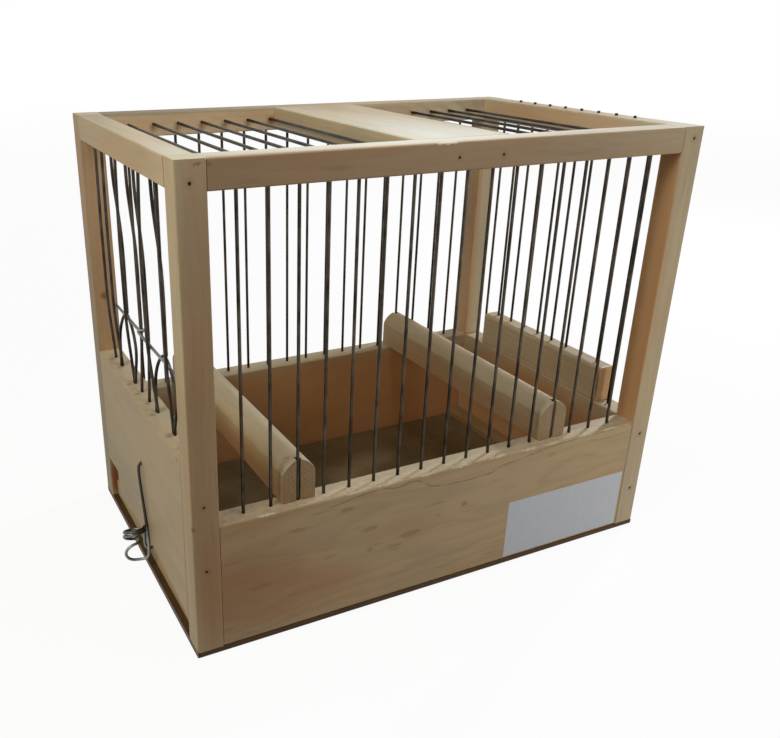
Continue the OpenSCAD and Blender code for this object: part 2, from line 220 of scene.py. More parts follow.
@dataclass(frozen=True)
class PineFinish(Finish):
    """Pine, planed and left raw: soft pale rings, fine silky fibres, brown resin streaks.

    The eye gets calm lines along the faces, arcs on the sawn ends, a satin sheen on the planed
    tops and slow drifts between orange heartwood and greyed wood.
    """

    grain: Grain
    centre: Point
    # Where the tree's heart lies from the board's middle, across the grain
    heart: tuple[float, float]
    ring: float = 2.6
    pale: str = "#D1BB93"
    late: str = "#AC865A"
    flush: str = "#B8824C"
    greyed: str = "#ABA687"
    streak: str = "#8A6540"
    end: str = "#B98A54"
    torn: str = "#E2D3B2"
    ring_strength: float = 0.16
    flush_strength: float = 0.32
    grey_strength: float = 0.3
    streak_strength: float = 0.22
    sheen: float = 0.45
    stains: tuple[Stain, ...] = ()
    line: ResinLine | None = None

    def surface(self, tree: Tree, place: Socket) -> tuple[Inputs, Inputs]:
        """Draws the wood with its rings, fibres, marks, sawn ends and torn rims.

        Args:
            tree: The node tree.
            place: The place in millimetres.

        Returns:
            The inputs of the shader and of its bump.
        """
        split = add_node(tree, "SeparateXYZ", {0: place})
        order = {n: split.outputs[axis] for n, axis in enumerate(self.grain.value)}
        along = result(tree, "CombineXYZ", order)
        # Fibres are 0.03 mm wide on real pine; they are drawn 0.4 mm wide, to show in the render
        fibres = self._noise(tree, along, (0.03, 2.4, 2.4), 3.0, 0.6)
        rings = self._rings(tree, along)
        colour = self._wood(tree, along, rings, fibres)
        colour = self._marks(tree, place, colour)
        colour = self._ends(tree, along, colour)
        height = result(tree, "Math", {0: fibres, 1: 0.8, 2: rings}, operation="MULTIPLY_ADD")
        gloss = result(tree, "MapRange", {"Value": fibres, "To Min": 0.5, "To Max": 0.66})
        inputs = {"Base Color": colour, "Roughness": gloss, "IOR": 1.5}
        inputs["Specular IOR Level"] = self.sheen
        return inputs, {"Height": height, "Strength": 0.3, "Distance": 0.05 * MM}

    def _noise(self, tree: Tree, along: Socket, per_mm: Point, detail: float, rough: float) -> Socket:
        """Adds a noise that is stretched along the fibres.

        Args:
            tree: The node tree.
            along: The place, along the fibres first.
            per_mm: How many noise cells there are to a millimetre, by axis.
            detail: The noise's detail.
            rough: The noise's roughness.

        Returns:
            The noise's value.
        """
        scaled = result(tree, "VectorMath", {0: along, 1: per_mm}, operation="MULTIPLY")
        inputs = {"Vector": scaled, "Scale": 1.0, "Detail": detail, "Roughness": rough}
        return result(tree, "TexNoise", inputs)

    def _lay(self, tree: Tree, below: Socket, over: str, *parts: Part) -> Socket:
        """Lays a colour over another, by the product of smoothly stretched values.

        Args:
            tree: The node tree.
            below: The colour below.
            over: The sRGB colour on top.
            parts: The values, alone or with their stretches.

        Returns:
            The mixed colour.
        """
        amount = None
        for share, *limits in parts:
            if limits:
                stretch = dict(zip(STRETCH, (share, *limits), strict=False))
                share = result(tree, "MapRange", stretch, interpolation_type="SMOOTHSTEP")
            if amount is not None:
                share = result(tree, "Math", {0: amount, 1: share}, operation="MULTIPLY")
            amount = share
        colours = {"Factor": amount, 6: below, 7: linear(over)}
        return result(tree, "Mix", colours, data_type="RGBA")

    def _rings(self, tree: Tree, along: Socket) -> Socket:
        """Draws the growth rings: slow pale earlywood, then a thin darker latewood line.

        Args:
            tree: The node tree.
            along: The place, along the fibres first.

        Returns:
            The darkness of the ring at each point, 0 to 1.
        """
        middle = [self.centre["XYZ".index(axis)] for axis in self.grain.value]
        heart = (0.0, middle[1] + self.heart[0], middle[2] + self.heart[1])
        across = result(tree, "VectorMath", {0: along, 1: (0.0, 1.0, 1.0)}, operation="MULTIPLY")
        reach = result(tree, "VectorMath", {0: across, 1: heart}, operation="DISTANCE")
        wander = self._noise(tree, along, (0.012, 0.05, 0.05), 2.0, 0.5)
        wavy = {0: wander, 1: 5.0 * self.ring, 2: reach}
        reach = result(tree, "Math", wavy, operation="MULTIPLY_ADD")
        turns = result(tree, "Math", {0: reach, 1: self.ring}, operation="DIVIDE")
        year = result(tree, "Math", {0: turns}, operation="FRACT")
        shape = add_node(tree, "ValToRGB", {"Fac": year})
        stops = ((0.0, 0.2), (0.3, 0.0), (0.7, 0.5), (0.88, 1.0), (1.0, 0.2))
        elements = shape.color_ramp.elements
        while len(elements) < len(stops):
            elements.new(1.0)
        for element, (position, grey) in zip(elements, stops, strict=True):
            element.position = position
            element.color = (grey, grey, grey, 1.0)
        return shape.outputs["Color"]

    def _wood(self, tree: Tree, along: Socket, rings: Socket, fibres: Socket) -> Socket:
        """Mixes the wood's own colours.

        Args:
            tree: The node tree.
            along: The place, along the fibres first.
            rings: Darkness of the rings.
            fibres: The fine fibre noise.

        Returns:
            The colour.
        """
        # Orange drifts are about 90 mm long and 18 mm wide, greyed patches 50 mm and 11 mm, and
        # resin canals and streaks 20 mm and 2 mm
        drift = self._noise(tree, along, (0.011, 0.055, 0.055), 2.0, 0.5)
        grey = self._noise(tree, along, (0.02, 0.09, 0.09), 3.0, 0.55)
        dash = self._noise(tree, along, (0.05, 0.55, 0.55), 2.0, 0.5)
        amount = result(tree, "Math", {0: rings, 1: self.ring_strength}, operation="MULTIPLY")
        colours = {"Factor": amount, 6: linear(self.pale), 7: linear(self.late)}
        wood = result(tree, "Mix", colours, data_type="RGBA")
        wood = self._lay(tree, wood, self.flush, (drift, 0.45, 0.68, 0.0, self.flush_strength))
        wood = self._lay(tree, wood, self.greyed, (grey, 0.48, 0.7, 0.0, self.grey_strength))
        wood = self._lay(tree, wood, self.streak, (dash, 0.6, 0.78, 0.0, self.streak_strength))
        shades = dict(zip(STRETCH, (fibres, 0.3, 0.7, 0.97, 1.02), strict=True))
        fine = result(tree, "MapRange", shades, interpolation_type="SMOOTHSTEP")
        return result(tree, "VectorMath", {0: wood, "Scale": fine}, operation="SCALE")

    def _marks(self, tree: Tree, place: Socket, colour: Socket) -> Socket:
        """Adds the board's stains, painted light and painted shade among them, and its resin line.

        Args:
            tree: The node tree.
            place: The place in millimetres.
            colour: The wood's colour.

        Returns:
            The colour with its marks.
        """
        # A ragged outline is shaken by up to a millimetre, in waves of about two
        waves = add_node(tree, "TexNoise", {"Vector": place, "Scale": 0.45, "Detail": 2.0})
        shake = {0: waves.outputs["Color"], 1: (2.0, 2.0, 2.0), 2: place}
        shaken = result(tree, "VectorMath", shake, operation="MULTIPLY_ADD")
        shaken = result(tree, "VectorMath", {0: shaken, 1: (1.0, 1.0, 1.0)}, operation="SUBTRACT")
        for stain in self.stains:
            spot = shaken if stain.ragged else place
            reach = {"Vector": spot, "Location": stain.middle, "Scale": stain.reach}
            local = result(tree, "Mapping", reach, vector_type="TEXTURE")
            away = result(tree, "VectorMath", {0: local}, operation="LENGTH")
            edge = (away, 1.0 - stain.soft, 1.0, stain.strength, 0.0)
            colour = self._lay(tree, colour, stain.colour, edge)
        return self._line(tree, place, colour) if self.line else colour

    def _line(self, tree: Tree, place: Socket, colour: Socket) -> Socket:
        """Draws the resin line.

        Args:
            tree: The node tree.
            place: The place in millimetres.
            colour: The wood's colour.

        Returns:
            The colour with its line.
        """
        places, heights = self.line.places, self.line.heights
        left, right, low, high = places[0], places[-1], min(heights), max(heights)
        split = add_node(tree, "SeparateXYZ", {0: place})
        course = {"Value": split.outputs["X"], "From Min": left, "From Max": right}
        share = result(tree, "MapRange", course)
        curve = add_node(tree, "FloatCurve", {"Value": share})
        points = curve.mapping.curves[0].points
        while len(points) < len(places):
            points.new(0.5, 0.5)
        for point, x, z in zip(points, places, heights, strict=True):
            point.location = ((x - left) / (right - left), (z - low) / (high - low))
        curve.mapping.update()
        rise = {"Value": curve.outputs["Value"], "To Min": low, "To Max": high}
        height = result(tree, "MapRange", rise)
        off = result(tree, "Math", {0: split.outputs["Z"], 1: height}, operation="SUBTRACT")
        off = result(tree, "Math", {0: off}, operation="ABSOLUTE")
        patchy = result(tree, "TexNoise", {"Vector": place, "Scale": 0.16, "Detail": 3.0})
        return self._lay(
            tree,
            colour,
            self.line.colour,
            (off, 0.1, self.line.width, self.line.strength, 0.0),
            (patchy, 0.34, 0.56, 0.2),
            (share, 0.0, 0.1),
        )

    def _ends(self, tree: Tree, along: Socket, colour: Socket) -> Socket:
        """Makes the sawn ends golden and open-pored, and whitens the torn fibres.

        Args:
            tree: The node tree.
            along: The place, along the fibres first.
            colour: The wood's colour.

        Returns:
            The colour with its end grain and torn rims.
        """
        normal = add_node(tree, "NewGeometry").outputs["True Normal"]
        split = add_node(tree, "SeparateXYZ", {0: normal})
        facing = result(tree, "Math", {0: split.outputs[self.grain.value[0]]}, operation="ABSOLUTE")
        pores = self._noise(tree, along, (0.2, 1.6, 1.6), 2.0, 0.7)
        colour = self._lay(tree, colour, self.end, (facing, 0.75, 0.95), (pores, 0.2, 0.8, 0.4))
        torn = add_node(tree, "Attribute", attribute_name=TORN).outputs["Fac"]
        ragged = self._noise(tree, along, (0.5, 1.5, 1.5), 2.0, 0.6)
        return self._lay(tree, colour, self.torn, (torn,), (ragged, 0.3, 0.6, 0.2, 0.8))


@dataclass(frozen=True)
class HardboardFinish(Finish):
    """Hardboard: pressed brown fibre with one smooth face, flecked and nearly matt.

    The eye gets a dark, even brown sheet with a paler fluff of fibres in its surface.
    """

    light: str = "#88724C"
    dark: str = "#665336"

    def surface(self, tree: Tree, place: Socket) -> tuple[Inputs, Inputs]:
        """Draws the pressed fibres.

        Args:
            tree: The node tree.
            place: The place in millimetres.

        Returns:
            The inputs of the shader and of its bump.
        """
        # Fibre bundles are 0.1 to 0.5 mm wide; they are drawn about 0.7 mm wide
        fleck = result(
            tree, "TexNoise", {"Vector": place, "Scale": 1.4, "Detail": 4.0, "Roughness": 0.65}
        )
        cloud = result(tree, "TexNoise", {"Vector": place, "Scale": 0.06, "Detail": 2.0})
        mottle = result(tree, "Math", {0: fleck, 1: 0.6, 2: cloud}, operation="MULTIPLY_ADD")
        amount = result(tree, "MapRange", {"Value": mottle, "From Min": 0.4, "From Max": 1.2})
        colours = {"Factor": amount, 6: linear(self.dark), 7: linear(self.light)}
        colour = result(tree, "Mix", colours, data_type="RGBA")
        inputs = {"Base Color": colour, "Roughness": 0.5, "Specular IOR Level": 0.15}
        return inputs, {"Height": fleck, "Strength": 0.3, "Distance": 0.06 * MM}


@dataclass(frozen=True)
class WireFinish(Finish):
    """Drawn steel wire: faint lines from the die along it, and a dull, patchy skin.

    The eye gets thin dark lines with a soft glint along them.
    """

    bare: str = "#4B443A"
    skin: str = "#2C2721"
    rough: float = 0.42
    # The die's lines to a millimetre, by axis, with the fewest along the wire
    die: Point = (3.0, 3.0, 0.15)
    # The least and most of the patches' noise that count, and how dull the dullest are
    patches: Point = (0.35, 0.65, 1.0)
    # Between these heights the wire goes from bare, rubbed by fingers, to a dull skin, which is also
    # painted shade on the pull's upper tail
    rubbed_and_shaded: tuple[float, float] | None = None

    def surface(self, tree: Tree, place: Socket) -> tuple[Inputs, Inputs]:
        """Draws the die's lines and the dull skin.

        Args:
            tree: The node tree.
            place: The place in millimetres.

        Returns:
            The inputs of the shader and of its bump.
        """
        lines = result(tree, "VectorMath", {0: place, 1: self.die}, operation="MULTIPLY")
        drawn = result(tree, "TexNoise", {"Vector": lines, "Scale": 1.0, "Detail": 2.0})
        patch = result(tree, "TexNoise", {"Vector": place, "Scale": 0.12, "Detail": 3.0})
        low, high, most = self.patches
        limits = {"Value": patch, "From Min": low, "From Max": high, "To Max": most}
        amount = result(tree, "MapRange", limits)
        if self.rubbed_and_shaded:
            height = add_node(tree, "SeparateXYZ", {0: place}).outputs["Z"]
            limits = {"Value": height, "From Min": self.rubbed_and_shaded[0], "From Max": self.rubbed_and_shaded[1]}
            dull = result(tree, "MapRange", limits)
            amount = result(tree, "Math", {0: dull, 1: amount}, operation="MAXIMUM")
        colours = {"Factor": amount, 6: linear(self.bare), 7: linear(self.skin)}
        colour = result(tree, "Mix", colours, data_type="RGBA")
        limits = {"Value": drawn, "To Min": self.rough - 0.08, "To Max": self.rough + 0.12}
        gloss = result(tree, "MapRange", limits)
        inputs = {"Base Color": colour, "Metallic": 1.0, "Roughness": gloss}
        return inputs, {"Height": drawn, "Strength": 0.2, "Distance": 0.02 * MM}


@dataclass(frozen=True)
class PaperFinish(Finish):
    """Coated label paper: white and smooth, with a faint cloud of fibres under its coat.

    The eye gets an even white sheet with a soft sheen.
    """

    white: str = "#ECF0FA"
    cloud: str = "#DEE3ED"

    def surface(self, tree: Tree, place: Socket) -> tuple[Inputs, Inputs]:
        """Draws the paper's cloud.

        Args:
            tree: The node tree.
            place: The place in millimetres.

        Returns:
            The inputs of the shader and of its bump.
        """
        fibre = result(tree, "TexNoise", {"Vector": place, "Scale": 0.35, "Detail": 4.0})
        colours = {"Factor": fibre, 6: linear(self.white), 7: linear(self.cloud)}
        colour = result(tree, "Mix", colours, data_type="RGBA")
        inputs = {"Base Color": colour, "Roughness": 0.38, "Specular IOR Level": 0.45}
        return inputs, {"Height": fibre, "Strength": 0.15, "Distance": 0.03 * MM}


def only(piece: Piece) -> None:
    """Selects one object alone and makes it active.

    Args:
        piece: The object.
    """
    bpy.ops.object.select_all(action="DESELECT")
    piece.select_set(True)
    bpy.context.view_layer.objects.active = piece


@contextmanager
def editing(piece: Piece) -> Iterator[None]:
    """Opens a piece's mesh for editing, and closes it after the block.

    Args:
        piece: The object.
    """
    only(piece)
    bpy.ops.object.mode_set(mode="EDIT")
    yield
    bpy.ops.object.mode_set(mode="OBJECT")


def apply_modifier(piece: Piece, kind: str, **settings: Any) -> None:
    """Adds a modifier and applies it.

    Args:
        piece: The object to change.
        kind: The modifier's type.
        settings: The modifier's own settings.
    """
    only(piece)
    modifier = piece.modifiers.new(kind.lower(), kind)
    for name, value in settings.items():
        setattr(modifier, name, value)
    bpy.ops.object.modifier_apply(modifier=modifier.name)


def place_in_mesh(piece: Piece) -> None:
    """Moves the object's place, turn and scale into its mesh."""
    only(piece)
    bpy.ops.object.transform_apply(location=True, rotation=True, scale=True)


def smooth_by_angle(piece: Piece, degrees: float = 30.0) -> None:
    """Shades the piece smooth, with edges sharper than the angle kept crisp."""
    only(piece)
    bpy.ops.object.shade_smooth_by_angle(angle=math.radians(degrees))


def merged_copy(node: str, ending: str) -> Piece:
    """Copies a CAD node's mesh into a new object, with its loose triangles joined.

    Args:
        node: The CAD node.
        ending: What the new piece's name ends with.

    Returns:
        The new object.
    """
    piece = bpy.data.objects.new(node + ending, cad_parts[node].data.copy())
    bpy.context.scene.collection.objects.link(piece)
    with editing(piece):
        bpy.ops.mesh.select_all(action="SELECT")
        bpy.ops.mesh.remove_doubles(threshold=0.001 * MM)
    return piece


def finish_piece(
    piece: Piece, body: Body, material: Material, slot: str | None, *stands_for: str
) -> None:
    """Dresses a piece, sets what it rides on, and reports it.

    Args:
        piece: The finished mesh object.
        body: The body that it rides on.
        material: Its material.
        slot: A material slot's name, or None; not used.
        stands_for: The CAD nodes that it replaces.
    """
    piece.data.materials.clear()
    piece.data.materials.append(material)
    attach(piece, body.value)
    if stands_for:
        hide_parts(*stands_for)
    LOG.info("%s: %d faces, rides on %s", piece.name, len(piece.data.polygons), body.value)


def dress_node(node: str, material: Material) -> None:
    """Gives a CAD node its material.

    Args:
        node: The CAD node.
        material: The material.
    """
    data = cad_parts[node].data
    data.materials.clear()
    data.materials.append(material)
    LOG.info("%s: CAD node, dressed in %s", node, material.name)


def rounded_wire(node: str, body: Body, material: Material, slot: str) -> None:
    """Makes a round copy of a bent wire, whose CAD section has only eight sides.

    Args:
        node: The CAD node.
        body: The body that the wire rides on.
        material: Its material.
        slot: A material slot's name, passed on to finish_piece, which does not use it.
    """
    piece = merged_copy(node, "_round")
    with editing(piece):
        bpy.ops.mesh.select_all(action="SELECT")
        bpy.ops.mesh.tris_convert_to_quads()
    apply_modifier(piece, "SUBSURF", levels=1, render_levels=1)
    apply_modifier(piece, "DISPLACE", strength=REGAIN * MM, mid_level=0.0)
    smooth_by_angle(piece, 60.0)
    finish_piece(piece, body, material, slot, node)


@dataclass(frozen=True)
class Lamp:
    """A square soft lamp that faces a point over the middle of the floor."""

    name: str
    place: Point
    side: float
    watts: float
    colour: str
    aim_height: float = 100.0

    def hang(self) -> None:
        """Adds the lamp to the scene."""
        data = bpy.data.lights.new(self.name, "AREA")
        data.shape = "SQUARE"
        data.size = self.side * MM
        data.energy = self.watts
        data.color = linear(self.colour)[:3]
        lamp = bpy.data.objects.new(self.name, data)
        bpy.context.scene.collection.objects.link(lamp)
        spot = Vector(self.place) * MM
        target = Vector((0.0, 0.0, self.aim_height * MM))
        lamp.location = spot
        lamp.visible_camera = False
        lamp.rotation_euler = (target - spot).to_track_quat("-Z", "Y").to_euler()


@dataclass
class Studio:
    """Pale floor, soft lamps, even world and the camera at the photograph's place."""

    camera_at: Point = (-203.7, -341.8, 245.5)
    azimuth: float = -26.10
    elevation: float = 23.37
    roll: float = 0.49
    focal_px: float = 847.6
    picture: tuple[int, int] = (780, 738)
    principal: tuple[float, float] = (302.6, 380.5)
    floor_size: float = 12000.0
    floor_tone: str = "#94918C"
    # The share of plain white in the floor that the camera sees, and its brightness by distance
    white_share: float = 0.7
    distances: tuple[float, float] = (200.0, 2500.0)
    glows: tuple[float, float] = (1.33, 1.43)
    room_tone: str = "#FFEEDA"
    ambient: float = 0.065
    lamps: tuple[Lamp, ...] = (
        Lamp("overhead_light", (-20, -95, 350), 130, 0.3, "#CFE4FF"),
        Lamp("left_window", (-400, -140, 380), 240, 0.8, "#FFFBEC"),
        # The right window throws the wires' shadows along the sills, to the left
        Lamp("right_window", (800, 260, 560), 100, 4.45, "#EEF2FF"),
        Lamp("front_fill", (330, -330, 20), 200, 0.74, "#FFFBF0"),
    )

    def build(self) -> None:
        """Makes the camera, the floor, the world and the lamps."""
        self._camera()
        self._floor()
        self._world()
        for lamp in self.lamps:
            lamp.hang()
        LOG.info("studio: camera, floor, world and %d lamps", len(self.lamps))

    def _camera(self) -> None:
        """Sets the camera where the photograph's straight edges say it stood."""
        az, el, roll = (math.radians(a) for a in (self.azimuth, self.elevation, self.roll))
        back = Vector((math.sin(az) * math.cos(el), -math.cos(az) * math.cos(el), math.sin(el)))
        right = Vector((math.cos(az), math.sin(az), 0.0))
        up = back.cross(right)
        turned_right = right * math.cos(roll) + up * math.sin(roll)
        turned_up = up * math.cos(roll) - right * math.sin(roll)
        width, height = self.picture
        data = bpy.data.cameras.new("camera")
        data.sensor_width = 36.0
        data.lens = self.focal_px * data.sensor_width / width
        data.shift_x = (width / 2 - self.principal[0]) / width
        data.shift_y = (self.principal[1] - height / 2) / width
        data.clip_start, data.clip_end = 0.01, 50.0
        camera = bpy.data.objects.new("camera", data)
        bpy.context.scene.collection.objects.link(camera)
        turn = Matrix((turned_right, turned_up, back)).transposed().to_4x4()
        camera.matrix_world = Matrix.Translation(Vector(self.camera_at) * MM) @ turn
        bpy.context.scene.camera = camera

    def _is_ray(self, tree: Tree, *kinds: str) -> Socket:
        """Tells some kinds of ray from the others.

        Args:
            tree: The node tree.
            kinds: The kinds of ray.

        Returns:
            1 for a ray of those kinds, 0 for any other.
        """
        path = add_node(tree, "LightPath")
        found, *others = (path.outputs[f"Is {kind} Ray"] for kind in kinds)
        for other in others:
            found = result(tree, "Math", {0: found, 1: other}, operation="MAXIMUM")
        return found

    def _floor(self) -> None:
        """Lays a pale floor that the camera sees as white with the cage's shadow on it."""
        bpy.ops.object.select_all(action="DESELECT")
        bpy.ops.mesh.primitive_plane_add(size=self.floor_size * MM)
        floor = bpy.context.object
        floor.name = "floor"
        made = bpy.data.materials.new("pale_floor")
        tree = cleared_tree(made)
        seen = self._is_ray(tree, "Camera", "Glossy")
        place = add_node(tree, "TexCoord").outputs["Object"]
        away = result(tree, "VectorMath", {0: place}, operation="LENGTH")
        (near, far), (dim, bright) = self.distances, self.glows
        # The lamps' light fades with the distance, and the white makes up for it
        limits = {"From Min": near * MM, "From Max": far * MM, "To Min": dim, "To Max": bright}
        glow = result(tree, "MapRange", {"Value": away, **limits})
        matt = result(tree, "BsdfDiffuse", {"Color": linear(self.floor_tone)})
        white = result(tree, "Emission", {"Color": WHITE, "Strength": glow})
        share = result(tree, "Math", {0: seen, 1: self.white_share}, operation="MULTIPLY")
        mixed = result(tree, "MixShader", {0: share, 1: matt, 2: white})
        add_node(tree, "OutputMaterial", {"Surface": mixed})
        floor.data.materials.append(made)

    def _world(self) -> None:
        """Fills the shadows evenly, and shows white to the camera and to reflections."""
        world = bpy.data.worlds.new("even_room")
        bpy.context.scene.world = world
        tree = cleared_tree(world)
        seen = self._is_ray(tree, "Camera", "Glossy", "Transmission")
        tone = {"Color": linear(self.room_tone), "Strength": self.ambient}
        room = result(tree, "Background", tone)
        white = result(tree, "Background", {"Color": WHITE, "Strength": 1.0})
        mixed = result(tree, "MixShader", {0: seen, 1: room, 2: white})
        add_node(tree, "OutputWorld", {"Surface": mixed})


@dataclass
class Timber:
    """A sawn stick or panel: worn long arrises, eased ends and torn rims round its holes."""

    node: str
    grain: Grain
    body: Body = Body.FRAME
    ease: float = 0.7
    rim: float = 0.3
    worn: dict[str, float] = field(default_factory=dict)
    setback: dict[str, float] = field(default_factory=dict)
    # The hairline gap at each end of the board
    seam: float = 0.0
    look: dict[str, Any] = field(default_factory=dict)
    nails: Spots = ()
    # How far a nail hole's mouth reaches at most, and the share of it that stays open
    mouth: float = 1.4
    open_share: float = 0.6
    cuts: tuple[float, ...] = ()

    def build(self) -> None:
        """Shapes the board from its CAD node and dresses it in pine."""
        piece = self.shape()
        low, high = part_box(self.node)
        finish = PineFinish(
            name=self.node + "_raw_pine",
            grain=self.grain,
            centre=tuple((low + high) / 2 / MM),
            **self.look,
        )
        finish_piece(piece, self.body, finish.material(), "pine", self.node)

    def shape(self) -> Piece:
        """Copies the CAD board, sets it back where told, and rounds its edges.

        Returns:
            The board, not yet dressed.
        """
        piece = merged_copy(self.node, "_timber")
        low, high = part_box(self.node)
        close = 0.01 * MM
        ends = {sign + self.grain.value[0].lower(): self.seam for sign in "-+"}
        for side, amount in {**self.setback, **ends}.items():
            axis, sign = "xyz".index(side[1]), -1 if side[0] == "-" else 1
            face = low[axis] if sign < 0 else high[axis]
            for vertex in piece.data.vertices:
                if abs(vertex.co[axis] - face) < close:
                    vertex.co[axis] -= sign * amount * MM
        self._close_nail_holes(piece)
        along = Vector(float(a == self.grain.axis()) for a in range(3))
        with editing(piece):
            bpy.ops.mesh.select_all(action="SELECT")
            bpy.ops.mesh.dissolve_limited(angle_limit=math.radians(0.5))
            # Cuts between the holes keep each flat face simple, so its rims can be rounded
            for place in self.cuts:
                bpy.ops.mesh.select_all(action="SELECT")
                bpy.ops.mesh.bisect(plane_co=along * place * MM, plane_no=along)
        corners = [Vector(c[:]) for c in piece.bound_box]
        low, high = corners[0], corners[6]
        across = [a for a in range(3) if a != self.grain.axis()]
        for signs in ((-1, -1), (-1, 1), (1, -1), (1, 1)):
            key = "".join("-+"[s > 0] + "xyz"[a] for s, a in zip(signs, across, strict=True))
            at = [high[a] if s > 0 else low[a] for s, a in zip(signs, across, strict=True)]
            self._round(
                piece,
                lambda p: all(abs(p[a] - v) < close for a, v in zip(across, at, strict=True)),
                self.worn.get(key, self.ease),
            )
        self._round_sharp(piece)
        for vertex in piece.data.vertices:
            for a in range(3):
                vertex.co[a] = min(max(vertex.co[a], low[a]), high[a])
        self._mark_torn(piece, low, high)
        smooth_by_angle(piece)
        # The wide flat faces keep their own normals, and only the roundings shade smoothly
        apply_modifier(piece, "WEIGHTED_NORMAL", mode="FACE_AREA", weight=90, keep_sharp=True)
        return piece

    def _close_nail_holes(self, piece: Piece) -> None:
        """Draws the mouths of the nail holes in, as wood closes over a sunk nail.

        Args:
            piece: The board.
        """
        for x, z in self.nails:
            for vertex in piece.data.vertices:
                spot = vertex.co / MM
                off = Vector((spot.x - x, 0.0, spot.z - z))
                if abs(abs(spot.y) - FACE) < 0.01 and off.length < self.mouth:
                    vertex.co -= off * (1.0 - self.open_share) * MM

    def _round(self, piece: Piece, on_edge: Callable[[Vector], bool], radius: float) -> None:
        """Rounds the edges whose two ends pass a test.

        Args:
            piece: The board.
            on_edge: The test of a vertex's place.
            radius: The rounding.
        """
        mesh = piece.data
        with editing(piece):
            bpy.ops.mesh.select_mode(type="EDGE")
            bpy.ops.mesh.select_all(action="DESELECT")
        for edge in mesh.edges:
            edge.select = all(on_edge(mesh.vertices[v].co) for v in edge.vertices)
        with editing(piece):
            bpy.ops.mesh.bevel(
                offset=radius * MM, segments=4, profile=0.5, affect="EDGES", clamp_overlap=False
            )

    def _round_sharp(self, piece: Piece) -> None:
        """Eases every edge that is still sharp: the ends, cuts, slots and holes' rims.

        Args:
            piece: The board.
        """
        with editing(piece):
            bpy.ops.mesh.select_mode(type="EDGE")
            bpy.ops.mesh.select_all(action="DESELECT")
            bpy.ops.mesh.edges_select_sharp(sharpness=math.radians(45))
            # An even width that doesn't slide along the flat faces' own edges leaves no folds
            bpy.ops.mesh.bevel(
                offset=self.rim * MM,
                offset_type="WIDTH",
                segments=2,
                profile=0.5,
                affect="EDGES",
                clamp_overlap=False,
                loop_slide=False,
            )

    def _mark_torn(self, piece: Piece, low: Vector, high: Vector) -> None:
        """Marks the rims of holes and cuts, away from the board's own edges.

        Args:
            piece: The board.
            low: Its lowest corner.
            high: Its highest corner.
        """
        mesh = piece.data
        marks = mesh.attributes.new(TORN, "FLOAT", "FACE")
        # A rounding's faces tilt by 10 degrees or more, and those of a rim are small
        straight, reach, skin = 0.985, 1.2 * MM, self.rim * 1.1 * MM
        for face in mesh.polygons:
            tilted = max(abs(n) for n in face.normal) < straight
            spots = [mesh.vertices[v].co for v in face.vertices]
            small = max((spot - face.center).length for spot in spots) < reach
            near = sum(
                face.center[a] - low[a] < skin or high[a] - face.center[a] < skin
                for a in range(3)
            )
            marks.data[face.index].value = float(tilted and small and near == 1)


